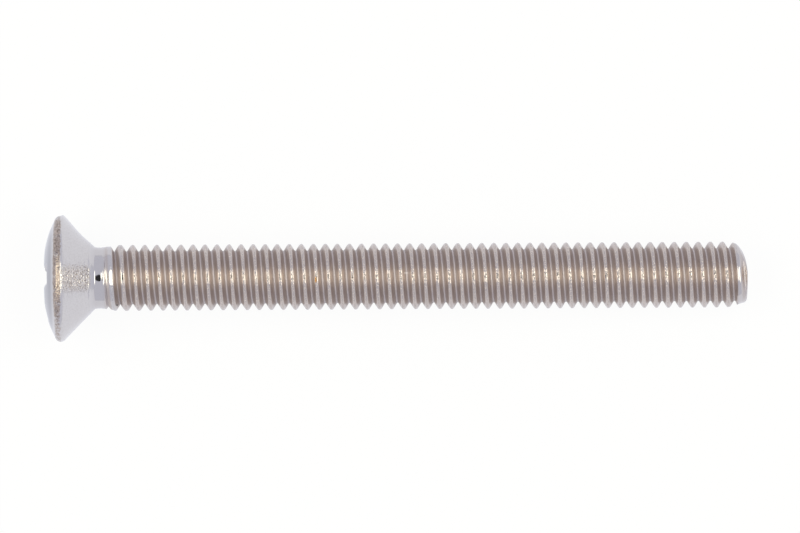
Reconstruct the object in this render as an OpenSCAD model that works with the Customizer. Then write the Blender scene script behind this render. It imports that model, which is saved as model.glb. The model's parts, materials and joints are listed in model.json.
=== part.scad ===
// Machine screw, M4 x 0.7 x 40, raised countersunk head with a cross recess.
// One turned and rolled piece that lies on the rim of its head and on the last
// full crest of its thread. Millimetres, +Z up, origin under the middle of it.

/* [Head] */
// Diameter over the rounded rim
head_d = 7.33; // [6.6:0.01:8.4]
// Radius of the raised top
dome_r = 8.67; // [7.5:0.01:12]
// Radius of the edge between the top and the countersink
rim_round = 0.34; // [0.2:0.01:0.5]
// Included angle of the countersink
sink_a = 90; // [80:1:100]

/* [Cross recess] */
// Diameter across the wings where the recess opens in the top
recess_d = 4.6; // [3.8:0.05:5]
// Width of a wing at the opening
wing_w = 1.08; // [0.8:0.02:1.3]
// Depth of the wings below the crown of the top
wing_depth = 2.05; // [1.4:0.05:2.2]
// Slope of a wing's outer edge from the axis
wing_a = 26.5; // [22:0.5:30]
// Slope of a wing's sides from its middle plane
side_a = 4; // [1:0.25:5.75]
// Diameter of the core between the wings at the opening
core_d = 1.9; // [1.5:0.05:2.2]
// Included angle of the point at the bottom
bottom_a = 140; // [120:1:160]
// Turn of the recess about the axis
recess_turn = -7; // [-45:1:45]

/* [Neck] */
// Diameter of the plain neck, which is the blank before rolling
neck_d = 3.58; // [3.5:0.01:3.7]
// Length of the plain neck
neck_l = 0.63; // [0.4:0.01:1.5]
// Radius of the corner under the head
neck_round = 0.12; // [0.05:0.01:0.3]

/* [Thread] */
// Length from the sharp edge of the countersink to the tip
length = 40.1; // [10:0.1:44]
// Diameter over the crests
thread_d = 3.88; // [3.84:0.01:4]
// Distance between crests
pitch = 0.7; // [0.65:0.01:0.8]
// Included angle between the flanks
flank_a = 60; // [55:1:65]
// Height of the step where the rolled part begins
roll_step = 0.04; // [0.03:0.005:0.06]
// Length over which the groove runs out towards the neck, in pitches
run_out = 0.65; // [0.4:0.05:1.5]
// Turn of the thread about the axis
thread_turn = 11; // [0:1:359]

/* [Tip] */
// Diameter of the flat end
tip_d = 2; // [1.2:0.05:2.6]
// Height of the rounding from the flat end to the crests
tip_round = 0.95; // [0.5:0.05:1.2]

/* [Hidden] */
steel = [0.74, 0.73, 0.74];

// Rim: a circle that touches the raised top from inside and the countersink
rim_x = head_d / 2 - rim_round;
rim_z = dome_r - sqrt(pow(dome_r - rim_round, 2) - rim_x * rim_x);
sink_slope = tan(sink_a / 2);
// The countersink's radius is sink_top - z * sink_slope
sink_top = rim_x + rim_z * sink_slope + rim_round / cos(sink_a / 2);
// Sharp edge where the top and the countersink would meet
edge_k = 1 + sink_slope * sink_slope;
edge_b = sink_top * sink_slope + dome_r;
edge_z = (edge_b - sqrt(edge_b * edge_b - edge_k * sink_top * sink_top)) / edge_k;
tip_z = edge_z + length;

// Neck and thread along the axis
neck_r = neck_d / 2;
neck_z = (sink_top - neck_r) / sink_slope;
thread_z = neck_z + neck_l;
crest_r = thread_d / 2;
roll_r = neck_r + roll_step;
crest_w = 0.23 * pitch;
root_w = 0.13 * pitch;
flank_w = (pitch - crest_w - root_w) / 2;
// The neck runs this far into the rolled part, so that the two are one solid
seat = 0.03;
// The recess is cut from this height, which is outside the crown
above = -1;

// The thread is a net of columns along the axis, with four corners in a pitch
columns = 24;
// Turn of the columns and of the head's seam, so that neither is at the bottom
column_turn = 3;
corners = [-crest_w / 2, crest_w / 2, crest_w / 2 + flank_w, crest_w / 2 + flank_w + root_w];
// A corner closer than this to an end of the net joins it
snap = 0.03;
// Rings of the rounded tip, as shares of its height
tip_rings = [0.32, 0.13, 0.03, 0];
net_end_z = tip_z - tip_rings[0] * tip_round;
first_z = thread_z - pitch * (1 + thread_turn / 360);
turns = ceil((net_end_z - first_z) / pitch) + 1;
last_row = 4 * turns + 4;
stride = last_row + len(tip_rings);

// The screw rests on the rim and on the last full crest, under the axis
rest_turns = floor((tip_z - tip_round - first_z) / pitch);
rest_z = first_z + rest_turns * pitch + crest_w / 2;
rest_r = crest_r * cos(column_turn);
rest_x = rim_x - rest_r;
tilt = atan2(rest_x, rest_z - rim_z) + asin(rim_round / norm([rest_x, rest_z - rim_z]));
rest_h = rest_z * sin(tilt) + rest_r * cos(tilt);
middle = (tip_z * cos(tilt) + tip_d / 2 * sin(tilt)) / 2;

function arc(centre, r, from, to, steps) =
    [for (k = [0:steps]) let (a = from + (to - from) * k / steps) centre + r * [cos(a), sin(a)]];

function smooth(t) = let (s = max(0, min(1, t))) s * s * (3 - 2 * s);

// Radius of the rounded tip at a distance before the end
function tip_r(s) = s >= tip_round ? crest_r
    : tip_d / 2 + (crest_r - tip_d / 2) * sqrt(1 - pow(1 - s / tip_round, 2));

// Radius of the full thread at a distance from the middle of a crest
function wave_r(u) = let (d = abs(u - pitch * round(u / pitch)))
    crest_r - max(0, min(flank_w, d - crest_w / 2)) / tan(flank_a / 2);

// Radius of the rolled part, with its run-out and its rounded tip
function shank_r(z, a) = let (
    full = wave_r(z - first_z - pitch * a / 360),
    fade = smooth((z - thread_z) / (run_out * pitch)))
    min(tip_r(tip_z - z), roll_r + fade * (full - roll_r));

function column_a(i) = column_turn + 360 * i / columns;

// Rows of a column: 0 is the start, then the corners, then the rings of the tip
function helix_z(i, row) =
    first_z + pitch * (floor((row - 1) / 4) + column_a(i) / 360) + corners[(row - 1) % 4];
function row_z(i, row) = row == 0 ? thread_z
    : row >= last_row ? tip_z - tip_rings[row - last_row] * tip_round
    : helix_z(i, row);
function held_row(i, row) = row == 0 || row >= last_row ? row
    : helix_z(i, row) < thread_z + snap ? 0
    : helix_z(i, row) > net_end_z - snap ? last_row
    : row;
// After a full turn a corner meets the one four rows on in the first column
function net_id(i, row) = let (
    j = i % columns,
    k = row == 0 || row >= last_row ? row : min(last_row, row + 4 * floor(i / columns)))
    j * stride + held_row(j, k);

function net_points() = [for (i = [0:columns - 1], row = [0:stride - 1])
    let (a = column_a(i), z = row_z(i, held_row(i, row)), r = shank_r(z, a))
    [r * cos(a), r * sin(a), z]];

function net_faces() = [for (i = [0:columns - 1], row = [0:stride - 2])
    let (low = net_id(i, row), low2 = net_id(i + 1, row),
        high = net_id(i, row + 1), high2 = net_id(i + 1, row + 1))
    each [if (low2 != high2) [low, high2, low2], if (low != high) [low, high, high2]]];

module head_and_neck() {
    dome_end = acos(rim_x / (dome_r - rim_round));
    corner_y = neck_z + neck_round * tan(sink_a / 4);
    color(steel) rotate([0, 0, column_turn]) rotate_extrude($fn = 96) intersection() {
        translate([0, dome_r]) circle(r = dome_r, $fn = 180);
        polygon(concat(
            [[0, thread_z + seat], [0, above], [rim_x, above]],
            arc([rim_x, rim_z], rim_round, -dome_end, 90 - sink_a / 2, 12),
            arc([neck_r + neck_round, corner_y], neck_round, 270 - sink_a / 2, 180, 4),
            [[neck_r, thread_z + seat]]));
    }
}

// Outline with sides that close in by slope from the crown, between two depths
function taper(half, slope, low, high) = [[low * slope - half, low], [half - low * slope, low],
    [half - high * slope, high], [high * slope - half, high]];

// One pair of wings, with sloped ends and sides
module wings() {
    mouth_z = dome_r - sqrt(dome_r * dome_r - recess_d * recess_d / 4);
    end_slope = tan(wing_a);
    intersection() {
        rotate([90, 0, 0]) linear_extrude(2 * wing_w, center = true)
            polygon(taper(recess_d / 2 + mouth_z * end_slope, end_slope, above, wing_depth));
        rotate([90, 0, 90]) linear_extrude(2 * recess_d, center = true)
            polygon(taper(wing_w / 2, tan(side_a), above, wing_depth + 1));
    }
}

// Two pairs of wings and the round core between them, with its point
module cross_recess() {
    core_top_r = core_d / 2 - above * tan(side_a);
    core_low_r = core_d / 2 - wing_depth * tan(side_a);
    for (turn = [0, 90]) rotate([0, 0, recess_turn + turn]) wings();
    rotate_extrude($fn = 48) polygon([[0, above], [core_top_r, above], [core_low_r, wing_depth],
        [0, wing_depth + core_low_r / tan(bottom_a / 2)]]);
}

module threaded_shank() {
    start = [for (i = [0:columns - 1]) net_id(i, 0)];
    end = [for (i = [columns - 1:-1:0]) net_id(i, stride - 1)];
    color(steel) polyhedron(net_points(), concat(net_faces(), [start, end]));
}

module screw() {
    translate([-middle, 0, rest_h]) rotate([0, 90 + tilt, 0]) union() {
        difference() {
            head_and_neck();
            cross_recess();
        }
        threaded_shank();
    }
}

screw();
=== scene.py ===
# %% [markdown]
# A plated machine screw, lying on a white table.
# The real screw starts as a piece of wire. A die presses the head and the cross recess, two flat dies roll
# the thread, and a bath of nickel covers it all. This lesson rebuilds it in that order: head, neck, thread
# and tip are rings of points in one closed mesh, and the finish is made of nodes.
# The frame comes first. It holds the solid that was built at real size and the places where other things
# meet it, so that the main sizes here are read from it and not typed in twice.

# %% Load the frame
import json
import math

import bpy
from mathutils import Matrix, Vector


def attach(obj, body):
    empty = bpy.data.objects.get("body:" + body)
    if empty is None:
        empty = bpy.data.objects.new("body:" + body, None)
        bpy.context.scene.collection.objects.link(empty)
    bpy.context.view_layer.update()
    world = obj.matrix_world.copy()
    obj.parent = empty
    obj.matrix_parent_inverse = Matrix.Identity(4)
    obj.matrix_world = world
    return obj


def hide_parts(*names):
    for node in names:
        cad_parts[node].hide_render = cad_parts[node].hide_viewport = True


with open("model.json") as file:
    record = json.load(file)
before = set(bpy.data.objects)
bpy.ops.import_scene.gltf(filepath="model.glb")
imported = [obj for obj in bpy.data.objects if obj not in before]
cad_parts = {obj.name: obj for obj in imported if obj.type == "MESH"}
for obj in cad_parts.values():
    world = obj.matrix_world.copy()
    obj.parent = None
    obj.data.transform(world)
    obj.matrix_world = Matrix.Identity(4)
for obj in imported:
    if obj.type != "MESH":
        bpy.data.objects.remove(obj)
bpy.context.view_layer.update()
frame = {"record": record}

# %% [markdown]
# The screw has its own axis, which slopes down to the tip because the screw rests on its rim and its last
# crest. It could be modelled as it lies, but then every ring would be a tilted one. It is easier to draw the
# screw along a straight Z axis, from the crown of the head at 0 to the tip, and to lay it down afterwards
# with one matrix. The record's mounts give that axis and the main radii. Drawing is done in millimetres.

# %% Read the sizes from the frame
MM = 0.001
mounts = {m["name"]: m for m in frame["record"]["mounts"]}
axis = Vector(mounts["neck"]["axis"]).normalized()
crown = Vector(mounts["driver_recess"]["pos_m"])
side = Vector((0, 1, 0))
lay_down = Matrix((side.cross(axis), side, axis)).transposed().to_4x4()
lay_down.translation = crown

rim_r = mounts["countersink"]["dims"]["r_mm"]
neck_r = mounts["neck"]["dims"]["r_mm"]
crest_r = mounts["thread"]["dims"]["r_mm"]
recess_r = mounts["driver_recess"]["dims"]["r_mm"]
thread_mid = (Vector(mounts["thread"]["pos_m"]) - crown).dot(axis) / MM
thread_half = mounts["thread"]["dims"]["length_mm"] / 2
thread_z = thread_mid - thread_half
tip_z = thread_mid + thread_half
print(f"thread from {thread_z:.2f} to {tip_z:.2f} mm below the crown, {2 * crest_r:.2f} mm across")

# %% [markdown]
# Every ring of the mesh has the same number of points, so that each ring joins the next with plain quads.
# The first point of a ring lies on the middle of one wing of the recess, which is turned a little.
# Many forms here begin or end softly, so a step with rounded ends is used all through.

# %% Set up the rings
COLUMNS = 96
EIGHTH = COLUMNS // 8
recess_turn = math.radians(-7)
column_angle = [recess_turn + 2 * math.pi * j / COLUMNS for j in range(COLUMNS)]


def smooth_step(low, high, value):
    t = min(1.0, max(0.0, (value - low) / (high - low)))
    return t * t * (3 - 2 * t)


def mix(a, b, t):
    return a + (b - a) * t


def circle_ring(radius, z):
    return [(radius * math.cos(a), radius * math.sin(a), z) for a in column_angle]


print("points in a ring:", COLUMNS)

# %% [markdown]
# The head's top is part of a large sphere. The punch that forms the recess drags its middle down a little
# and pushes metal up around the wings, so the top isn't a perfect sphere.

# %% Shape the raised top
dome_r = 8.67
punch_dent, dent_fade = 0.03, (0.9, 1.6)
punch_push, push_rise, push_fade = 0.045, (1.2, 1.9), (2.6, 3.4)


def crown_sag(radius):
    """Depth of the top below the crown, with the punch's dent and the metal that it pushed out."""
    sphere = dome_r - math.sqrt(dome_r ** 2 - radius ** 2)
    pushed = smooth_step(*push_rise, radius) * (1 - smooth_step(*push_fade, radius))
    return sphere + punch_dent * (1 - smooth_step(*dent_fade, radius)) - punch_push * pushed


print(f"at the recess's mouth the top lies {crown_sag(recess_r):.2f} mm below the crown")

# %% [markdown]
# The cross recess is pressed by a punch with four tapered wings around a round core. A Boolean cut would
# make it too, but with ragged strips along its edges that a mirror finish shows at once. So one eighth of
# its outline is drawn, from the middle of a wing's end to the middle of the core between two wings, and
# mirrored round. The same point of the outline exists at every depth, so the walls are clean strips.

# %% Draw the outline of the recess at a depth
wing_half = 0.54
wing_depth = 2.05
wing_corner = 0.16
core_r = 0.95
end_slope = math.tan(math.radians(26.5))
side_slope = math.tan(math.radians(4))


def recess_eighth(step, depth, grow):
    """Point of the outline in the plane of the ring, where step 0 is the wing's end and EIGHTH the core."""
    end = recess_r - (depth - crown_sag(recess_r)) * end_slope + grow
    half = wing_half - depth * side_slope + grow
    core = core_r - depth * side_slope + grow
    corner = wing_corner + grow
    part = EIGHTH // 4
    if step <= part:
        return end, (half - corner) * step / part
    if step <= 2 * part:
        turn = math.pi / 2 * (step - part) / part
        return end - corner * (1 - math.cos(turn)), half - corner * (1 - math.sin(turn))
    core_start = math.asin(half / core)
    if step <= 3 * part:
        t = (step - 2 * part) / part
        return mix(end - corner, core * math.cos(core_start), t), half
    turn = mix(core_start, math.pi / 4, (step - 3 * part) / part)
    return core * math.cos(turn), core * math.sin(turn)


def recess_point(column, depth, grow=0.0):
    quarter, step = divmod(column, 2 * EIGHTH)
    if step <= EIGHTH:
        x, y = recess_eighth(step, depth, grow)
    else:
        y, x = recess_eighth(2 * EIGHTH - step, depth, grow)
    turn = recess_turn + quarter * math.pi / 2
    return Vector((x * math.cos(turn) - y * math.sin(turn), x * math.sin(turn) + y * math.cos(turn)))


print("points on one wing's half outline:", EIGHTH + 1)

# %% [markdown]
# The walls lean, so where they meet the curved top depends on the depth, and the depth on where they meet.
# Trying four times in turn settles that for every column, and each try starts from the last answer.

# %% Find the mouth of the recess
def recess_mouth(column):
    depth = crown_sag(recess_r)
    for _ in range(4):
        depth = crown_sag(recess_point(column, depth).length)
    return depth


mouth = [recess_mouth(j) for j in range(COLUMNS)]
print(f"the mouth of the recess lies {min(mouth):.2f} to {max(mouth):.2f} mm below the crown")

# %% [markdown]
# From the bottom up, the recess has three kinds of rings: small crosses that close its bottom, the walls,
# and the lip. A pressed edge is never sharp, so between the wall and the raised top a small curve rolls
# over. It is a quadratic curve from a point on the wall, past the edge, to a point on the top.

# %% Press the recess
BOTTOM_SHARES = (0.25, 0.5, 0.75)
bottom_slope, bottom_flat, bottom_point = 0.3, 0.6, 0.28
wall_steps = 9
lip, lip_out, lip_steps = 0.13, 0.22, 5


def bottom_rings():
    rings = []
    for share in BOTTOM_SHARES:
        z = wing_depth + bottom_slope * max(0, bottom_flat - share)
        rings.append([(*(recess_point(j, wing_depth) * share), z) for j in range(COLUMNS)])
    return rings


def wall_rings():
    rings = []
    for k in range(wall_steps + 1):
        depths = [mix(wing_depth, mouth[j] + lip, k / wall_steps) for j in range(COLUMNS)]
        rings.append([(*recess_point(j, depths[j]), depths[j]) for j in range(COLUMNS)])
    return rings


def lip_rings(wall, shoulder):
    rings = []
    edge = [Vector((*recess_point(j, mouth[j]), mouth[j])) for j in range(COLUMNS)]
    for k in range(1, lip_steps + 1):
        t = k / lip_steps
        rings.append([tuple(Vector(wall[j]) * (1 - t) ** 2 + edge[j] * 2 * t * (1 - t) + shoulder[j] * t * t)
                      for j in range(COLUMNS)])
    return rings


def on_top(flat):
    return Vector((flat.x, flat.y, crown_sag(flat.length)))


shoulder = [on_top(recess_point(j, mouth[j], lip_out)) for j in range(COLUMNS)]
head_rings = bottom_rings() + wall_rings()
head_rings += lip_rings(head_rings[-1], shoulder)
recess_end = len(BOTTOM_SHARES) + wall_steps + 2
print("rings in the recess and its lip:", len(head_rings))

# %% [markdown]
# Around the lip the rings change from the cross to a circle, while each point stays on the raised top.

# %% Spread the cross into a circle
spread_steps = 9
spread_r = 2.85


def spread_rings():
    rings = []
    for k in range(1, spread_steps + 1):
        ring = []
        for j in range(COLUMNS):
            round_end = Vector((math.cos(column_angle[j]), math.sin(column_angle[j]))) * spread_r
            ring.append(tuple(on_top(shoulder[j].xy.lerp(round_end, k / spread_steps))))
        rings.append(ring)
    return rings


head_rings += spread_rings()
print("rings up to the middle of the top:", len(head_rings))

# %% [markdown]
# Outside the recess the head is a turned shape: the rest of the top, a rounded rim, the cone of the
# countersink and a small corner into the neck. The rim is a circle that touches both the top and the cone,
# so its middle is worked out from them.

# %% Turn the rim and the neck
rim_round, rim_steps = 0.34, 12
neck_round, neck_corner_steps = 0.12, 4
cone = math.radians(45)
rim_x = rim_r - rim_round
rim_z = dome_r - math.sqrt((dome_r - rim_round) ** 2 - rim_x ** 2)
cone_top = rim_x + rim_z * math.tan(cone) + rim_round / math.cos(cone)
neck_z = (cone_top - neck_r) / math.tan(cone)
corner_z = neck_z + neck_round * math.tan(cone / 2)
top_profile = [(r, crown_sag(r)) for r in (3.0, 3.15, 3.3)]


def arc_profile(x, z, radius, start, end, steps):
    turns = [mix(start, end, k / steps) for k in range(steps + 1)]
    return [(x + radius * math.cos(a), z + radius * math.sin(a)) for a in turns]


rim_start = -math.acos(rim_x / (dome_r - rim_round))
rim_arc = arc_profile(rim_x, rim_z, rim_round, rim_start, math.pi / 2 - cone, rim_steps)
neck_arc = arc_profile(neck_r + neck_round, corner_z, neck_round, 1.5 * math.pi - cone, math.pi,
                       neck_corner_steps)
print(f"rim {2 * rim_r:.2f} mm across, cone down to {neck_z:.2f} mm, neck {2 * neck_r:.2f} mm across")

# %% [markdown]
# Straight lines could join the rim, the neck's corner and the first groove. But a mirror finish shows small
# bends by how wide the lamps look in it, and in the photograph they look as in a cone that is three
# hundredths of a millimetre hollow, with a narrow shelf beside the neck, and in a neck with a slight waist.
# So both lines are bent by a part of a sine wave.

# %% Hollow the cone and the neck
groove_z = 3.48
neck_steps, waist, waist_steps = 8, 0.0165, 5
cone_steps, cone_hollow = 10, 0.03
shelf_share = 0.25
SHELF = ((0.0, 0.0), (0.018, 0.05), (0.1, 0.1))


def line_profile(start, end, steps):
    return [(mix(start[0], end[0], k / steps), mix(start[1], end[1], k / steps)) for k in range(1, steps)]


neck_line = line_profile(neck_arc[-1], (neck_r, groove_z), neck_steps)
neck_profile = [(r - waist * math.sin(math.pi / 2 * min(1.0, k / waist_steps)), z)
                for k, (r, z) in enumerate(neck_line, 1)]
cone_line = line_profile(rim_arc[-1], neck_arc[0], cone_steps)
cone_profile = [(r - cone_hollow * math.sin(math.pi * k / cone_steps), z)
                for k, (r, z) in enumerate(cone_line, 1)]
shelf_r, shelf_z = [mix(a, b, shelf_share) for a, b in zip(*cone_profile[-2:])]
cone_profile[-1:-1] = [(shelf_r - inward, shelf_z + down) for inward, down in SHELF]
head_rings += [circle_ring(r, z)
               for r, z in top_profile + rim_arc + cone_profile + neck_arc + neck_profile]
print("rings in the head and the neck:", len(head_rings))

# %% [markdown]
# Cold pressing leaves the head a little off the wire's axis, and the rim fuller on one side than on the
# other. Both are small, but they show in the outline. Every ring exists already, so one function moves the
# points, and it leaves the neck where it is.

# %% Set the head off the axis
head_shift, shift_fade = -0.038, (2.1, 3.1)
rim_full, full_rise, full_fade = 0.1, (1.0, 1.25), (1.3, 2.3)


def uneven(x, y, z):
    full = rim_full * smooth_step(*full_rise, z) * (1 - smooth_step(*full_fade, z))
    share = max(0.0, y) / math.hypot(x, y) if y else 0.0
    grown = 1 + full * share ** 2 / max(1.0, math.hypot(x, y))
    return x * grown, y * grown + head_shift * (1 - smooth_step(*shift_fade, z)), z


head_rings = [[uneven(*point) for point in ring] for ring in head_rings]
print(f"the head sits {-head_shift:.3f} mm off the axis")

# %% [markdown]
# Rolling presses a groove into the neck's own diameter, and the metal it pushes aside becomes the crests.
# A thread could be made with the Screw modifier from one tooth, but its run-out at both ends would be lost.
# So one function tells how far the surface lies under the crest, at any distance from a crest's middle.
# The crest is slightly crowned and its corners are rounded, more so on the early side, towards the head.

# %% Draw one tooth of the thread
pitch = 0.7
crest_w = 0.23 * pitch
root_w = 0.13 * pitch
flank_slope = 1 / math.tan(math.radians(30))
thread_depth = (pitch - crest_w - root_w) / 2 * flank_slope
crown_r = 0.28
early_soft, edge_soft, root_soft = 0.1, 0.03, 0.03


def from_crest(along):
    """Distance to the middle of the nearest crest, below nought on its early side."""
    return along - pitch * round(along / pitch)


def soft_positive(value, softness):
    """Zero below nought and the value above it, with a rounded bend between."""
    if abs(value) >= softness:
        return max(0.0, value)
    return (value + softness) ** 2 / (4 * softness)


def thread_drop(along):
    """How far the surface lies under the crest, for a distance along the axis from any crest."""
    offset = from_crest(along)
    distance = abs(offset)
    softness = early_soft if offset < 0 else edge_soft
    rounding = distance ** 2 / (2 * crown_r)
    drop = rounding + soft_positive((distance - crest_w / 2) * flank_slope - rounding, softness)
    return thread_depth - soft_positive(thread_depth - drop, root_soft)


print(f"thread depth {thread_depth:.3f} mm, root diameter {2 * (crest_r - thread_depth):.2f} mm")

# %% [markdown]
# Where the thread begins, the groove is still shallow and the crests are still low. So the full thread is
# lifted where the groove runs out, and held under a ceiling that rises by a small step and then to the full
# crests. The first crests are also a little wide on their early side.

# %% Run the thread out towards the neck
thread_turn = 11 / 360
crest_start = thread_z - pitch * (1 + thread_turn)
worn = 0.02
groove_full = 4.15
step_z, step_l, step_rise = 3.61, 0.1, 0.035
crest_low, crest_full = 3.86, 4.35
early_wide, wide_fade = 0.06, (4.4, 5.4)


def along_thread(z, angle):
    """Distance along the axis from the thread's first crest, followed round the screw."""
    return z - crest_start - pitch * angle / (2 * math.pi)


def thread_radius(z, angle):
    along = along_thread(z, angle)
    along += min(max(0.0, -from_crest(along)), early_wide * (1 - smooth_step(*wide_fade, z)))
    blank_depth = neck_r - (crest_r - thread_depth)
    lift = (1 - smooth_step(groove_z, groove_full, z)) * blank_depth
    step_r = neck_r + step_rise * smooth_step(step_z, step_z + step_l, z)
    ceiling = mix(step_r, crest_r, smooth_step(crest_low, crest_full, z))
    return min(ceiling, crest_r - worn - thread_drop(along) + lift)


print(f"the groove begins {groove_z:.2f} mm below the crown and is full at {groove_full:.2f} mm")

# %% [markdown]
# The tip is where the dies let go. It is rounded, and not evenly: fuller on one side than on the other. So
# three profiles are given, for the side along +Y as the screw lies, for the side opposite, and for the sides
# between, which the camera looks at. Every other direction is a mixture of them. Each pair is a distance
# before the end and a radius.

# %% Round the tip
TIP_HIGH = [(0.017, 0.06), (0.04, 0.34), (0.075, 0.58), (0.1, 0.81), (0.135, 0.98), (0.185, 1.16),
            (0.25, 1.33), (0.315, 1.45), (0.405, 1.565), (0.505, 1.70), (0.62, 1.80), (0.74, 1.85),
            (1.2, 1.93), (2.0, 1.96)]
TIP_LOW = [(0.0, 0.06), (0.002, 0.3), (0.004, 0.59), (0.006, 0.8), (0.008, 0.94), (0.01, 1.13),
           (0.012, 1.33), (0.02, 1.48), (0.075, 1.57), (0.15, 1.63), (0.35, 1.68), (0.505, 1.74),
           (0.865, 1.88), (2.0, 1.96)]
TIP_NEAR = [(0.0, 0.06), (0.003, 0.4), (0.006, 0.8), (0.01, 1.1), (0.015, 1.35), (0.025, 1.52),
            (0.04, 1.59), (0.075, 1.62), (0.12, 1.74), (0.17, 1.87), (0.24, 1.93), (0.38, 1.96),
            (0.9, 1.97), (2.0, 1.97)]
tip_short = 0.075
tip_end_z = tip_z - tip_short
high_power, low_power = 1.3, 2


def tip_shares(angle):
    """Shares of the profile along +Y, of the one along -Y and of the one between them."""
    high = max(0.0, math.sin(angle)) ** high_power
    low = max(0.0, -math.sin(angle)) ** low_power
    return high, low, 1 - high - low


def tip_profile(angle):
    shares = tip_shares(angle)
    return [tuple(sum(share * value for share, value in zip(shares, values)) for values in zip(*three))
            for three in zip(TIP_HIGH, TIP_LOW, TIP_NEAR)]


def with_halves(places):
    """The same profile with one more place halfway between each two."""
    halves = [((a[0] + b[0]) / 2, (a[1] + b[1]) / 2) for a, b in zip(places, places[1:])]
    return [place for pair in zip(places, halves) for place in pair] + [places[-1]]


tip_profiles = [with_halves(tip_profile(a)) for a in column_angle]
print("places on the profile of the tip:", len(tip_profiles[0]))

# %% [markdown]
# The last groove fades out just before the rounding, except on the sides that the camera looks at, where it
# runs on to the end. The shank is then the rolled thread or the rounded tip, whichever is nearer the axis.

# %% Fade the thread into the tip
fade_low, fade_full, fade_share = 40.28, 40.5, 0.93


def tip_radius(before_end, column):
    places = tip_profiles[column]
    for (near, small), (far, large) in zip(places, places[1:]):
        if before_end <= far:
            return mix(small, large, max(0.0, before_end - near) / (far - near))
    return crest_r


def thread_faded(z, angle):
    """Share of the thread that is gone near the end. It runs on where the profile is the middle one."""
    return fade_share * smooth_step(fade_low, fade_full, z) * (1 - tip_shares(angle)[2])


def shank_point(column, z):
    angle = column_angle[column]
    rolled = mix(thread_radius(z, angle), crest_r, thread_faded(z, angle))
    radius = min(rolled, tip_radius(tip_end_z - z, column))
    return radius * math.cos(angle), radius * math.sin(angle), z


print(f"the thread fades from {tip_end_z - fade_low:.2f} to {tip_end_z - fade_full:.2f} mm before the end")

# %% [markdown]
# The thread is a net. Its rows follow the helix, so that a crest is always a row of points and stays crisp,
# and after one turn each row meets the row of the next crest. Plain rings would need many more points for
# the same crests. Where a row would run out of the thread at either end, its points are held at the first
# or the last ring.

# %% Lay out the rows of the net
half_rows = [0.03, 0.06, 0.088, 0.115, 0.2, 0.285, 0.318]
row_places = [-p for p in reversed(half_rows)] + [0.0] + half_rows + [pitch / 2]
ROWS = len(row_places)
net_turns = math.ceil((tip_z - crest_start) / pitch) + 2
hold = 0.006
TIP_RINGS = 18


def net_row_z(column, row):
    turn, place = divmod(row, ROWS)
    return crest_start - pitch + pitch * (turn + column_angle[column] / (2 * math.pi)) + row_places[place]


def tip_ring_z(column, ring):
    """Place along the axis of a ring on the tip, counted from the end."""
    return tip_end_z - tip_profiles[column][ring][0]


print("rows in one pitch:", ROWS)

# %% [markdown]
# The net is filled with points column by column, and each two columns are joined by quads. The last column
# joins the first one a whole pitch further on, as a helix does. A face whose corners were held together at
# an end becomes a triangle or is left out.

# %% Roll the thread
def new_ring(points, ring):
    """Adds a ring of points and returns their numbers."""
    points.extend(ring)
    return list(range(len(points) - COLUMNS, len(points)))


def net_numbers(points, first_ring, last_ring):
    numbers = {}
    for j in range(COLUMNS):
        for row in range(net_turns * ROWS):
            z = net_row_z(j, row)
            if z < groove_z + hold:
                numbers[j, row] = first_ring[j]
            elif z > tip_ring_z(j, TIP_RINGS) - hold:
                numbers[j, row] = last_ring[j]
            else:
                numbers[j, row] = len(points)
                points.append(shank_point(j, z))
    return numbers


def add_shank(points, faces, first_ring):
    """Adds the net from the neck's last ring to the tip's first one, and returns that one."""
    last_ring = new_ring(points, [shank_point(j, tip_ring_z(j, TIP_RINGS)) for j in range(COLUMNS)])
    numbers = net_numbers(points, first_ring, last_ring)
    for j in range(COLUMNS):
        right, shift = (j + 1, 0) if j + 1 < COLUMNS else (0, ROWS)
        for row in range((net_turns - 1) * ROWS - 1):
            corners = (numbers[j, row], numbers[right, row + shift],
                       numbers[right, row + shift + 1], numbers[j, row + 1])
            face = [c for k, c in enumerate(corners) if c != corners[k - 1]]
            if len(set(face)) > 2:
                faces.append(face)
    return last_ring


print("turns in the net:", net_turns)

# %% [markdown]
# Now the rings are joined in order, from the bottom of the recess to the middle of the tip, into one closed
# mesh. Each face is given one of three finishes: the pressed recess, the head and neck, or the rolled thread.

# %% Join everything into one mesh
RECESS, HEAD, THREAD = range(3)


def join_rings(faces, low, high):
    for j in range(COLUMNS):
        k = (j + 1) % COLUMNS
        faces.append([low[j], low[k], high[k], high[j]])


def cap_ring(points, faces, ring, centre, to_tip):
    points.append(centre)
    middle = len(points) - 1
    for j in range(COLUMNS):
        k = (j + 1) % COLUMNS
        faces.append([ring[j], ring[k], middle] if to_tip else [ring[k], ring[j], middle])


def screw_mesh():
    points, faces, finish = [], [], []
    rings = [new_ring(points, ring) for ring in head_rings]
    cap_ring(points, faces, rings[0], (0, 0, wing_depth + bottom_point), False)
    finish += [RECESS] * len(faces)
    for k in range(len(rings) - 1):
        join_rings(faces, rings[k], rings[k + 1])
        finish += [RECESS if k < recess_end else HEAD] * COLUMNS
    low = add_shank(points, faces, rings[-1])
    for k in reversed(range(TIP_RINGS)):
        high = new_ring(points, [shank_point(j, tip_ring_z(j, k)) for j in range(COLUMNS)])
        join_rings(faces, low, high)
        low = high
    cap_ring(points, faces, low, (0, 0, tip_end_z), True)
    finish += [THREAD] * (len(faces) - len(finish))
    return points, faces, finish


points, faces, finish = screw_mesh()
print("points:", len(points), "triangles:", sum(len(f) - 2 for f in faces))

# %% [markdown]
# The mesh has been drawn upright and in millimetres. The matrix from the frame lays it down in metres.

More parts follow.
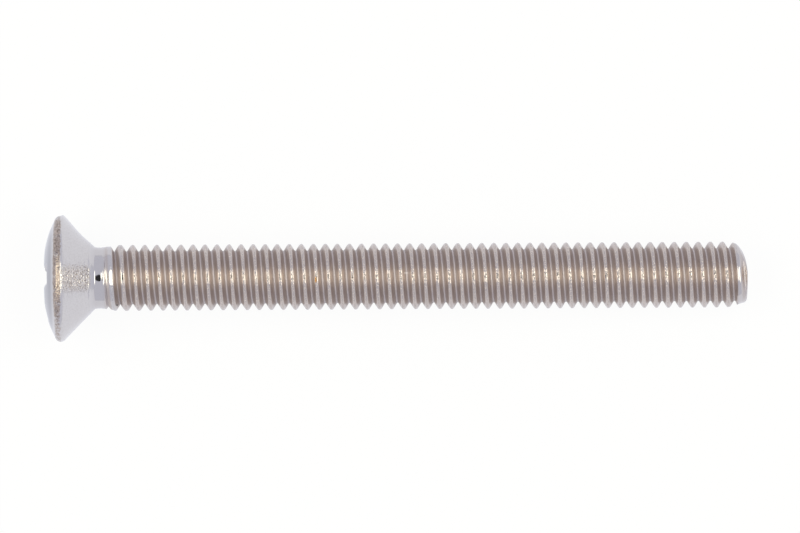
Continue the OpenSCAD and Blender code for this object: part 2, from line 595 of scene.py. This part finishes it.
# %% Lay the screw down
mesh = bpy.data.meshes.new("plated_screw")
mesh.from_pydata([lay_down @ (Vector(p) * MM) for p in points], [], faces)
mesh.polygons.foreach_set("material_index", finish)
mesh.polygons.foreach_set("use_smooth", [True] * len(mesh.polygons))
mesh.validate()
mesh.update()
screw = bpy.data.objects.new("plated_screw", mesh)
bpy.context.collection.objects.link(screw)
along_x = [v.co.x for v in mesh.vertices]
print("length of the piece as it lies, m:", round(max(along_x) - min(along_x), 4))

# %% [markdown]
# The finish has to follow the screw and not the room. So each point keeps its place as it was drawn: how
# far it lies along the axis, and where it is round it. Textures could be painted on an unwrapped image
# instead, but a value at each point needs no image and stays sharp on every crest.

# %% Keep each point's place along and round the axis
turned = mesh.attributes.new("turned", "FLOAT_VECTOR", "POINT")
turned.data.foreach_set("vector", [value for x, y, z in points for value in (z, x, y)])


def keep_share(name, share_at):
    """Stores a share from 0 to 1 for each point, worked out from its place as it was drawn."""
    shares = [share_at(*point) for point in points]
    mesh.attributes.new(name, "FLOAT", "POINT").data.foreach_set("value", shares)
    print(name, "covers", sum(share > 0.5 for share in shares), "of", len(points), "points")


print("places kept for", len(points), "points")

# %% [markdown]
# Tools and other screws have rubbed the plating of the rim, less so at its far sides. Beside the rim the
# cone has scuffs, mostly in a band that faces the camera, and that band also gets a painted highlight and
# dark specks of painted reflection. The head keeps the fine rings of its forming and the neck doesn't, and
# the neck is painted darker than the head as painted shade. The raised top is painted darker still as
# painted shade. So these places are kept too.

# %% Mark the worn places of the head
rub_low, rub_high = 0.66, 1.12
rub_rise, rub_fade = (rub_low - 0.05, rub_low + 0.16), (rub_high - 0.14, rub_high + 0.12)
rub_inner = (2.9, 3.2)
side_shade, shade_up, shade_down = 0.6, (3.0, 3.55), (0.9, 2.6)
head_and_neck_edge, top_shade_edge = (2.8, 3.0), (0.5, 0.72)
scuff_glint_rise, scuff_glint_fade, scuff_glint_side, scuff_glint_least = (1.08, 1.2), (2.7, 2.85), (0.4, 1.0), 0.15


def rubbed_at(x, y, z):
    band = smooth_step(*rub_rise, z) * (1 - smooth_step(*rub_fade, z))
    light = (1 - side_shade * smooth_step(*shade_up, y)) * (1 - side_shade * smooth_step(*shade_down, -y))
    return band * light * smooth_step(*rub_inner, math.hypot(x, y))


# This share also paints a warm highlight and dark specks of painted reflection on the cone's band that faces
# the camera.
def scuffs_and_painted_glint_at(x, y, z):
    band = 1 - smooth_step(*scuff_glint_side, abs(y)) if x < 0 else 0.0
    return smooth_step(*scuff_glint_rise, z) * (1 - smooth_step(*scuff_glint_fade, z)) * mix(scuff_glint_least, 1.0, band)


keep_share("rubbed", rubbed_at)
keep_share("scuffed", scuffs_and_painted_glint_at)
# This share keeps the forming rings on the head, and where it is nought the neck is painted darker as painted
# shade.
keep_share("unpolished", lambda x, y, z: 1 - smooth_step(*head_and_neck_edge, z))
# This share paints the raised top darker as painted shade.
keep_share("pressed", lambda x, y, z: 1 - smooth_step(*top_shade_edge, z))

# %% [markdown]
# In the grooves of the thread the metal is rougher than on the crests, and its colour is painted darker
# and browner as painted shade, a little lighter at the roots. Rolling pushes metal up from both sides, and
# where it meets, on top of each crest, it leaves a fine broken seam.

# %% Mark the parts of the thread
rolled_rise, rolled_fade, rolled_loss = (3.9, 5.0), (40.0, 40.5), 0.8
sunk_drop, sunk_rise, sunk_end = (0.01, 0.16), (3.5, 3.9), (0.01, 0.03)
root_edge = (thread_depth - 0.05, thread_depth - 0.01)
seam_half, seam_rise, seam_fade = (0.02, 0.056), (3.9, 4.3), (40.2, 40.4)


def along_at(x, y, z):
    return along_thread(z, math.atan2(y, x))


def rolled_at(x, y, z):
    return smooth_step(*rolled_rise, z) * (1 - rolled_loss * smooth_step(*rolled_fade, z))


# This share paints the grooves darker and browner as painted shade, and makes them rougher.
def groove_shade_and_rough_at(x, y, z):
    sunk = smooth_step(*sunk_drop, thread_drop(along_at(x, y, z))) * smooth_step(*sunk_rise, z)
    return sunk * (1 - thread_faded(z, math.atan2(y, x))) * smooth_step(*sunk_end, tip_end_z - z)


def root_at(x, y, z):
    return smooth_step(*root_edge, thread_drop(along_at(x, y, z))) * groove_shade_and_rough_at(x, y, z)


def seam_at(x, y, z):
    near = 1 - smooth_step(*seam_half, abs(from_crest(along_at(x, y, z))))
    return near * smooth_step(*seam_rise, z) * (1 - smooth_step(*seam_fade, z))


keep_share("rolled", rolled_at)
keep_share("sunk", groove_shade_and_rough_at)
keep_share("root", root_at)
keep_share("seam", seam_at)

# %% [markdown]
# The finish is made of shader nodes. Two helpers keep the cells short: one makes a node group with named
# sockets, and one adds a node and fills its inputs.

# %% Make helpers for groups and nodes
VECTOR, FLOAT, COLOUR = "NodeSocketVector", "NodeSocketFloat", "NodeSocketColor"


def new_group(name, inputs, outputs):
    group = bpy.data.node_groups.new(name, "ShaderNodeTree")
    for label, kind, value in inputs:
        socket = group.interface.new_socket(label, in_out="INPUT", socket_type=kind)
        if value is not None:
            socket.default_value = value
    for label, kind in outputs:
        group.interface.new_socket(label, in_out="OUTPUT", socket_type=kind)
    return group, group.nodes.new("NodeGroupInput").outputs, group.nodes.new("NodeGroupOutput").inputs


def add_node(tree, kind, settings=None, **inputs):
    """Makes a node, sets its options, and gives its inputs values or links. An input i0 is the first one."""
    node = tree.nodes.new(kind)
    for key, value in (settings or {}).items():
        setattr(node, key, value)
    for key, value in inputs.items():
        socket = node.inputs[int(key[1:])] if key[1:].isdigit() else node.inputs[key]
        if isinstance(value, bpy.types.NodeSocket):
            tree.links.new(value, socket)
        else:
            socket.default_value = value
    return node


print("helpers for groups and nodes ready")

# %% [markdown]
# The nodes that are used most get a helper each, which gives back the one output that is needed.

# %% Make helpers for the common nodes
def calculate(tree, operation, *values):
    numbered = {f"i{k}": value for k, value in enumerate(values)}
    return add_node(tree, "ShaderNodeMath", {"operation": operation}, **numbered).outputs[0]


def vectors(tree, operation, *values):
    numbered = {f"i{k}": value for k, value in enumerate(values)}
    node = add_node(tree, "ShaderNodeVectorMath", {"operation": operation}, **numbered)
    return node.outputs["Value" if operation == "LENGTH" else "Vector"]


def noise(tree, place, scale, detail, roughness):
    return add_node(tree, "ShaderNodeTexNoise", Vector=place, Scale=scale, Detail=detail,
                    Roughness=roughness).outputs["Fac"]


def remap(tree, value, low, high, to_low=0.0, to_high=1.0, kind="LINEAR"):
    return add_node(tree, "ShaderNodeMapRange", {"interpolation_type": kind}, i0=value, i1=low, i2=high,
                    i3=to_low, i4=to_high).outputs[0]


def blend_colour(tree, share, first, second):
    return add_node(tree, "ShaderNodeMix", {"data_type": "RGBA"}, i0=share, i6=first, i7=second).outputs[2]


print("helpers for the common nodes ready")

# %% [markdown]
# Five effects make the finish, and each is a node group that the materials use with their own values.
# Forming marks are fine rings round the axis, left by dies and turning. They are noise that changes fast
# along the axis and slowly round it.

# %% Build the forming marks
def forming_marks():
    group, given, out = new_group(
        "Forming marks", [("Vector", VECTOR, None), ("Rings", FLOAT, 14.0), ("Around", FLOAT, 0.5)],
        [("Height", FLOAT), ("Mask", FLOAT)])
    stretch = add_node(group, "ShaderNodeCombineXYZ", i0=given["Rings"], i1=given["Around"],
                       i2=given["Around"]).outputs[0]
    rings = noise(group, vectors(group, "MULTIPLY", given["Vector"], stretch), 1.0, 4.0, 0.6)
    group.links.new(rings, out["Height"])
    group.links.new(remap(group, rings, 0.35, 0.65), out["Mask"])
    return group


EFFECTS = {"marks": forming_marks()}
print("built:", EFFECTS["marks"].name)

# %% [markdown]
# Pits are small dark holes where the plating broke. They are the peaks of a fine noise, cut off at a level
# that sets how much of the surface they cover, with an edge just soft enough not to flicker.

# %% Build the pits
def pits():
    group, given, out = new_group(
        "Pits", [("Vector", VECTOR, None), ("Scale", FLOAT, 9.0), ("Cover", FLOAT, 0.3)],
        [("Height", FLOAT), ("Mask", FLOAT)])
    peaks = noise(group, given["Vector"], given["Scale"], 3.0, 0.75)
    level = calculate(group, "SUBTRACT", 1.0, given["Cover"])
    mask = remap(group, peaks, level, calculate(group, "ADD", level, 0.06), kind="SMOOTHSTEP")
    group.links.new(calculate(group, "MULTIPLY", mask, -1.0), out["Height"])
    group.links.new(mask, out["Mask"])
    return group


EFFECTS["pits"] = pits()
print("built:", EFFECTS["pits"].name)

# %% [markdown]
# Haze is the slow change of tone that a plated part gets from handling, between a clean and a dull colour.

# %% Build the haze
def haze():
    group, given, out = new_group(
        "Haze",
        [("Vector", VECTOR, None), ("Scale", FLOAT, 0.5), ("Clean", COLOUR, None), ("Dull", COLOUR, None)],
        [("Colour", COLOUR), ("Mask", FLOAT)])
    mask = remap(group, noise(group, given["Vector"], given["Scale"], 5.0, 0.6), 0.3, 0.7)
    group.links.new(blend_colour(group, mask, given["Clean"], given["Dull"]), out["Colour"])
    group.links.new(mask, out["Mask"])
    return group


EFFECTS["haze"] = haze()
print("built:", EFFECTS["haze"].name)

# %% [markdown]
# Scuffs are the coarse scratches beside the rim, where rings from the die and grains of dirt both cut into
# the plating. Their height is centred, so that they don't lift the surface as a whole.

# %% Build the scuffs
def scuffs():
    group, given, out = new_group(
        "Scuffs", [("Vector", VECTOR, None), ("Rings", FLOAT, 9.0)], [("Height", FLOAT)])
    stretch = add_node(group, "ShaderNodeCombineXYZ", i0=given["Rings"], i1=1.2, i2=1.2).outputs[0]
    rings = noise(group, vectors(group, "MULTIPLY", given["Vector"], stretch), 1.0, 1.0, 0.5)
    grain = noise(group, given["Vector"], 13.0, 2.0, 0.5)
    both = calculate(group, "MULTIPLY_ADD", rings, 0.9, grain)
    group.links.new(calculate(group, "SUBTRACT", both, 0.95), out["Height"])
    return group


EFFECTS["scuffs"] = scuffs()
print("built:", EFFECTS["scuffs"].name)

# %% [markdown]
# A spot is one stain with a place and a size of its own, for the few marks that can be counted.

# %% Build the spot
def spot():
    group, given, out = new_group(
        "Spot", [("Vector", VECTOR, None), ("Place", VECTOR, None), ("Size", VECTOR, None)],
        [("Mask", FLOAT)])
    away = vectors(group, "SUBTRACT", given["Vector"], given["Place"])
    distance = vectors(group, "LENGTH", vectors(group, "DIVIDE", away, given["Size"]))
    group.links.new(remap(group, distance, 0.7, 1.3, 1.0, 0.0, "SMOOTHSTEP"), out["Mask"])
    return group


EFFECTS["spot"] = spot()
print("built:", EFFECTS["spot"].name)

# %% [markdown]
# Nickel is a warm white metal. In the groove of a thread light bounces two or three times before it comes
# back, and each bounce takes some blue away, so a groove looks browner than a crest even in one colour. The
# grooves get a still darker and browner colour as painted shade, a little lighter at the roots, and the rim
# is worn to a brown. The raised top gets a darker colour as painted shade, the neck a darker copy of the
# nickel as painted shade, and the cone's band that faces the camera a warm, light colour as a painted
# highlight. So those places have colours of their own.

# %% Choose the colours
NICKEL = (0.648, 0.630, 0.632, 1)
NICKEL_DULL = (0.630, 0.608, 0.605, 1)
NECK_PAINTED_SHADE = (0.605, 0.58, 0.58, 1)
TOP_PAINTED_SHADE = (0.435, 0.43, 0.453, 1)
WORN = (0.48, 0.40, 0.345, 1)
PAINTED_GLINT = (0.90, 0.845, 0.77, 1)
ROLLED = (0.60, 0.535, 0.50, 1)
ROLLED_DULL = (0.565, 0.50, 0.46, 1)
GROOVE_PAINTED_SHADE = (0.52, 0.45, 0.415, 1)
ROOT_PAINTED_SHADE = (0.58, 0.53, 0.525, 1)
PIT_AND_PAINTED_SPECK = (0.16, 0.12, 0.10, 1)
RUST = (0.62, 0.33, 0.10, 1)
SOOT = (0.03, 0.03, 0.03, 1)
DUST = (0.74, 0.70, 0.70, 1)
print("nickel:", NICKEL[:3], "groove:", GROOVE_PAINTED_SHADE[:3])

# %% [markdown]
# Each layer of the finish takes the colour, roughness and normal so far and gives back its own. The groove
# layer adds the broken seam on each crest, then the rougher grooves with their painted shade, which is
# lighter at the roots.

# %% Add the layer for grooves
SEAM_SCALE, SEAM_COVER, SEAM_DEEP = 8.0, 0.52, 0.014
SUNK_ROUGHER, ROOT_ROUGHER = 0.31, 0.16


def group_node(tree, key, **inputs):
    return add_node(tree, "ShaderNodeGroup", {"node_tree": EFFECTS[key]}, **inputs).outputs


def kept_share(tree, name):
    return add_node(tree, "ShaderNodeAttribute", {"attribute_name": name}).outputs["Fac"]


def bump(tree, distance_mm, height, **earlier):
    return add_node(tree, "ShaderNodeBump", Strength=1.0, Distance=distance_mm * MM, Height=height,
                    **earlier).outputs[0]


def groove_layer(tree, place, colour, roughness, normal):
    split = group_node(tree, "pits", Vector=place, Scale=SEAM_SCALE, Cover=SEAM_COVER)["Height"]
    seam_height = calculate(tree, "MULTIPLY", split, kept_share(tree, "seam"))
    normal = bump(tree, SEAM_DEEP, seam_height, Normal=normal)
    for name, tone, rougher in (("sunk", GROOVE_PAINTED_SHADE, SUNK_ROUGHER), ("root", ROOT_PAINTED_SHADE, ROOT_ROUGHER)):
        part = kept_share(tree, name)
        colour = blend_colour(tree, part, colour, tone)
        roughness = calculate(tree, "MULTIPLY_ADD", part, rougher, roughness)
    return colour, roughness, normal


print("the groove layer uses the shares seam, sunk and root")

# %% [markdown]
# The wear layer paints the neck darker than the head and the raised top darker still, both as painted
# shade, wears the rim with a ragged edge, scuffs the cone, and paints a warm highlight and dark specks on
# the cone's band that faces the camera.
# A rub with an even edge would look painted, so the kept share is added to a haze and cut off again.

# %% Add the layer for wear
MOTTLE_SCALE, MOTTLE_COVER = 2.2, 0.62
GRAIN_SCALE, GRAIN_COVER = 12.0, 0.50
RAGGED_SCALE, RAGGED_HAZE, RAGGED_RUB, RAGGED_CUT = 5.0, 0.6, 1.4, (0.62, 1.1)
WORN_LEAST, WORN_MOST, WORN_ROUGHER = 0.45, 0.95, 0.12
GLINT_SHARE, BAND_PAINTED_SPECKS, RUB_GRAIN = 0.6, 0.6, 0.8
SCUFF_DEEP, SCUFF_RUB = 0.045, 0.7


def ragged_rub(tree, place):
    broken = group_node(tree, "haze", Vector=place, Scale=RAGGED_SCALE)["Mask"]
    rub = calculate(tree, "MULTIPLY", kept_share(tree, "rubbed"), RAGGED_RUB)
    return remap(tree, calculate(tree, "MULTIPLY_ADD", broken, RAGGED_HAZE, rub), *RAGGED_CUT)


def wear_layer(tree, place, colour, roughness, normal, dark):
    rub, scuffed = ragged_rub(tree, place), kept_share(tree, "scuffed")
    mottle = group_node(tree, "pits", Vector=place, Scale=MOTTLE_SCALE, Cover=MOTTLE_COVER)["Mask"]
    worn_share = calculate(tree, "MULTIPLY", rub, remap(tree, mottle, 0.0, 1.0, WORN_LEAST, WORN_MOST))
    colour = blend_colour(tree, kept_share(tree, "unpolished"), NECK_PAINTED_SHADE, colour)
    colour = blend_colour(tree, kept_share(tree, "pressed"), colour, TOP_PAINTED_SHADE)
    colour = blend_colour(tree, calculate(tree, "MULTIPLY", scuffed, GLINT_SHARE), colour, PAINTED_GLINT)
    colour = blend_colour(tree, worn_share, colour, WORN)
    roughness = calculate(tree, "MULTIPLY_ADD", worn_share, WORN_ROUGHER, roughness)
    grain = group_node(tree, "pits", Vector=place, Scale=GRAIN_SCALE, Cover=GRAIN_COVER)["Mask"]
    marked = calculate(tree, "MAXIMUM", calculate(tree, "MULTIPLY", rub, RUB_GRAIN),
                       calculate(tree, "MULTIPLY", scuffed, BAND_PAINTED_SPECKS))
    dark = calculate(tree, "MAXIMUM", dark, calculate(tree, "MULTIPLY", marked, grain))
    scuff_share = calculate(tree, "MULTIPLY_ADD", rub, SCUFF_RUB, scuffed)
    scuff_height = group_node(tree, "scuffs", Vector=place)["Height"]
    normal = bump(tree, SCUFF_DEEP, calculate(tree, "MULTIPLY", scuff_height, scuff_share), Normal=normal)
    return colour, roughness, normal, dark


print("the wear layer uses the shares rubbed, scuffed, unpolished and pressed")

# %% [markdown]
# One function builds a plated finish. Under the layers lie the haze between two colours and the forming
# marks, a fine bump that also roughens the metal. Over them come the pits and the spots.

# %% Build a plated finish
RING_ROUGHER = 0.05
PIT_DEEP = 0.01


def plating(name, rough, rings, ring_deep, cover, pit_scale, clean=NICKEL, dull=NICKEL_DULL, wear=False,
            groove=False, spots=()):
    material = bpy.data.materials.new(name)
    material.use_nodes = True
    tree = material.node_tree
    place = add_node(tree, "ShaderNodeAttribute", {"attribute_name": "turned"}).outputs["Vector"]
    marks = group_node(tree, "marks", Vector=place, Rings=rings)
    holes = group_node(tree, "pits", Vector=place, Scale=pit_scale, Cover=cover)
    colour = group_node(tree, "haze", Vector=place, Clean=clean, Dull=dull)["Colour"]
    roughness = remap(tree, marks["Mask"], 0.0, 1.0, rough, rough + RING_ROUGHER)
    height, dark = marks["Height"], holes["Mask"]
    if wear:
        height = calculate(tree, "MULTIPLY", height, kept_share(tree, "unpolished"))
    normal = bump(tree, ring_deep, height)
    if groove:
        colour = blend_colour(tree, kept_share(tree, "rolled"), NECK_PAINTED_SHADE, colour)
        colour, roughness, normal = groove_layer(tree, place, colour, roughness, normal)
    if wear:
        colour, roughness, normal, dark = wear_layer(tree, place, colour, roughness, normal, dark)
    colour = blend_colour(tree, dark, colour, PIT_AND_PAINTED_SPECK)
    for tone, spot_place, spot_size in spots:
        mask = group_node(tree, "spot", Vector=place, Place=spot_place, Size=spot_size)["Mask"]
        colour = blend_colour(tree, mask, colour, tone)
    shader = tree.nodes["Principled BSDF"]
    shader.inputs["Metallic"].default_value = 1.0
    tree.links.new(colour, shader.inputs["Base Color"])
    tree.links.new(roughness, shader.inputs["Roughness"])
    tree.links.new(bump(tree, PIT_DEEP, holes["Height"], Normal=normal), shader.inputs["Normal"])
    return material


print("a plated finish has the layers haze, marks, grooves or wear, pits and spots")

# %% [markdown]
# The punch leaves the recess duller than the rest, the head is the smoothest, and the thread has a browner
# metal with three marks that can be counted: one of rust, one of soot and one of dust. Each mark has its
# colour, its place along and round the axis, and its size.

# %% Give the screw its finishes
THREAD_SPOTS = [(RUST, (15.88, -1.90, -0.17), (0.05, 0.3, 0.17)),
                (SOOT, (4.33, -0.9, -1.58), (0.05, 0.8, 0.05)),
                (DUST, (21.10, -1.75, 0.2), (0.12, 0.6, 0.05))]
finishes = [None] * 3
finishes[RECESS] = plating("punched_recess", rough=0.26, rings=6.0, ring_deep=0.01, cover=0.40, pit_scale=6.0)
finishes[HEAD] = plating("plated_head", rough=0.06, rings=16.0, ring_deep=0.004, cover=0.27, pit_scale=8.0,
                         wear=True)
finishes[THREAD] = plating("rolled_thread", rough=0.07, rings=9.0, ring_deep=0.003, cover=0.30, pit_scale=7.0,
                           clean=ROLLED, dull=ROLLED_DULL, groove=True, spots=THREAD_SPOTS)
for material in finishes:
    mesh.materials.append(material)
print("finishes:", ", ".join(material.name for material in finishes))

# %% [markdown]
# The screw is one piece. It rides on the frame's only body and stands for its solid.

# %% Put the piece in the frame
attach(screw, "root")
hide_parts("screw")

# %% [markdown]
# The table is a wide white disc. The camera sees it almost plain white, and a share of real light keeps the
# shadow under the screw. In the metal it looks different: a pale card lies under the screw, and the table
# beyond it is a little darker. A ray that was mirrored by the screw meets those tones, and all other rays
# meet white paint.

# %% Lay the white table
table_r = 2.5


def add_disc(name, radius, height):
    disc_mesh = bpy.data.meshes.new(name)
    ring = [(radius * math.cos(a), radius * math.sin(a), height) for a in column_angle]
    disc_mesh.from_pydata(ring, [], [list(range(COLUMNS))])
    disc = bpy.data.objects.new(name, disc_mesh)
    bpy.context.collection.objects.link(disc)
    material = bpy.data.materials.new(name)
    material.use_nodes = True
    disc_mesh.materials.append(material)
    return disc, material.node_tree


table, tree = add_disc("white_table", table_r, 0)
print("table radius, m:", table_r)

# %% [markdown]
# The card is a long ellipse: its distance from the middle is measured with the length of the screw counted
# for less than the width. Its edge is soft, so that no line shows in the metal.

# %% Tell the metal about the card
card_r, card_edge, card_squeeze = 0.045, 0.004, (0.08, 1.0, 0.0)
CARD, TABLE_BEYOND = (0.90, 0.915, 1.0, 1), (0.72, 0.735, 0.825, 1)
place = add_node(tree, "ShaderNodeNewGeometry").outputs["Position"]
far = vectors(tree, "LENGTH", vectors(tree, "MULTIPLY", place, card_squeeze))
beyond = remap(tree, far, card_r - card_edge, card_r + card_edge, kind="SMOOTHSTEP")
mirrored_tone = blend_colour(tree, beyond, CARD, TABLE_BEYOND)
print("card half width, m:", card_r)

# %% [markdown]
# A plain emission gives the tones, and a white diffuse paint gives the light and the shadow. The two are
# mixed by the kind of ray that arrives.

# %% Paint the table
PAINT, WHITE = (0.9, 0.9, 0.9, 1), (1, 1, 1, 1)
seen_glow, mirrored_glow = 0.93, 0.85
tree.nodes.remove(tree.nodes["Principled BSDF"])
path = add_node(tree, "ShaderNodeLightPath").outputs
paint = add_node(tree, "ShaderNodeBsdfDiffuse", Color=PAINT)
tone = blend_colour(tree, path["Is Glossy Ray"], WHITE, mirrored_tone)
glow = add_node(tree, "ShaderNodeEmission", Color=tone, Strength=1.0)
mirrored = calculate(tree, "MULTIPLY", path["Is Glossy Ray"], mirrored_glow)
share = calculate(tree, "MULTIPLY_ADD", path["Is Camera Ray"], seen_glow, mirrored)
blend = add_node(tree, "ShaderNodeMixShader", i0=share, i1=paint.outputs[0], i2=glow.outputs[0])
tree.links.new(blend.outputs[0], tree.nodes["Material Output"].inputs["Surface"])
print("share of plain white that the camera sees:", seen_glow)

# %% [markdown]
# The room is what polished metal shows. It is a soft cool grey in the metal, it lights the table almost
# white, and the camera sees plain white beyond the table. An image of a room could be wrapped round the
# scene instead, but two tones and the kind of ray are all that this metal needs.

# %% Wrap the room round the screw
ROOM_LOW, ROOM_HIGH, ROOM_LIGHT = (0.74, 0.755, 0.85, 1), (0.73, 0.745, 0.835, 1), (0.95, 0.98, 1.0, 1)
rise_low, rise_high, room_strength = 0.05, 0.35, 0.6
world = bpy.data.worlds.new("room")
bpy.context.scene.world = world
world.use_nodes = True
tree = world.node_tree
tree.nodes.clear()


def background(colour, strength):
    return add_node(tree, "ShaderNodeBackground", Color=colour, Strength=strength).outputs[0]


def mix_shader(share, first, second):
    return add_node(tree, "ShaderNodeMixShader", i0=share, i1=first, i2=second).outputs[0]


path = add_node(tree, "ShaderNodeLightPath").outputs
generated = add_node(tree, "ShaderNodeTexCoord").outputs["Generated"]
direction = add_node(tree, "ShaderNodeSeparateXYZ", i0=generated).outputs
rise = remap(tree, direction["Z"], rise_low, rise_high, kind="SMOOTHSTEP")
room_tone = blend_colour(tree, rise, ROOM_LOW, ROOM_HIGH)
lit = mix_shader(path["Is Glossy Ray"], background(ROOM_LIGHT, room_strength), background(room_tone, 1.0))
seen = mix_shader(path["Is Camera Ray"], lit, background(WHITE, 1.0))
add_node(tree, "ShaderNodeOutputWorld", Surface=seen)
print("strength of the room's light:", room_strength)

# %% [markdown]
# Above the screw hang two warm lamps, one towards the head and one towards the tip. The neck and the
# crests mirror them as bright bars with a gap between, and the bars' ends are round, so the lamps are
# ellipses.

# %% Hang the lamps
lamp_height, lamp_half, lamp_glow, lamp_aside = 0.30, 0.165, 2.6, 0.012
LAMPS = (("lamp_at_the_head", -1, 0.075, 0.38), ("lamp_at_the_tip", 1, 0.075, 0.32))
for name, way, near, far in LAMPS:
    lamp_data = bpy.data.lights.new(name, "AREA")
    lamp_data.shape = "ELLIPSE"
    lamp_data.size = far - near
    lamp_data.size_y = 2 * lamp_half
    lamp_data.color = (1.0, 0.975, 0.77)
    lamp_data.energy = lamp_glow * math.pi * lamp_data.size * lamp_data.size_y * math.pi / 4
    lamp = bpy.data.objects.new(name, lamp_data)
    lamp.location = (way * (near + far) / 2, lamp_aside, lamp_height)
    lamp.visible_camera = False
    bpy.context.collection.objects.link(lamp)
    print(name, "energy, W:", round(lamp_data.energy, 3))

# %% [markdown]
# Between the lamps the metal mirrors the round front of the camera itself, which makes the black spot on
# the neck and the dark gap on every crest. A black disc stands for it. It is hidden from the camera and
# from diffuse light, so that only the metal sees it.

# %% Hang the dark front of the camera between the lamps
front_r, front_height = 0.062, 0.285
front, tree = add_disc("camera_front", front_r, front_height)
tree.nodes["Principled BSDF"].inputs["Base Color"].default_value = (0.004, 0.004, 0.004, 1)
front.visible_camera = False
front.visible_diffuse = False
front.visible_shadow = False
print("dark front radius, m:", front_r)

# %% [markdown]
# The photograph looks almost straight down, so the camera stands on the line square to the screw's axis. Its
# place is worked out along the screw: where the look is square, how far away it is, and what it aims at.
# Measuring the crests in pixels gives the scale, and the scale and the distance give the lens.

# %% Place the camera
PIXELS_PER_MM = 17.187
CROWN_PX, SQUARE_PX, CENTRE_PX = 42.95, 331.0, 400.0
AXIS_BELOW_CENTRE_PX = 9.85
PICTURE_W = 800
ROLL = math.radians(-0.32)
camera_distance = 0.43


def on_axis(pixel):
    return crown + axis * ((pixel - CROWN_PX) / PIXELS_PER_MM * MM)


aside = side * (AXIS_BELOW_CENTRE_PX / PIXELS_PER_MM * MM)
eye = on_axis(SQUARE_PX) + axis.cross(side) * camera_distance + aside
aim = on_axis(CENTRE_PX) + aside
back = (eye - aim).normalized()
right = side.cross(back).normalized()
turn = Matrix((right, back.cross(right), back)).transposed().to_4x4()
print("the camera stands at, m:", [round(c, 3) for c in eye])

# %% [markdown]
# A camera is an object with lens data. A sensor of 36 mm is the usual one, and the lens follows from it.

# %% Set up the camera
camera_data = bpy.data.cameras.new("camera")
camera_data.sensor_width = 36
camera_data.lens = PIXELS_PER_MM * camera_data.sensor_width * (eye - aim).length / MM / PICTURE_W
camera_data.clip_start = 0.01
camera = bpy.data.objects.new("camera", camera_data)
camera.matrix_world = Matrix.Translation(eye) @ turn @ Matrix.Rotation(ROLL, 4, "Z")
bpy.context.collection.objects.link(camera)
bpy.context.scene.camera = camera
print(f"camera {camera_distance} m from the axis, lens {camera_data.lens:.0f} mm")

# %% [markdown]
# The Standard view keeps white paper white.

# %% Finish
bpy.context.scene.view_settings.view_transform = "Standard"
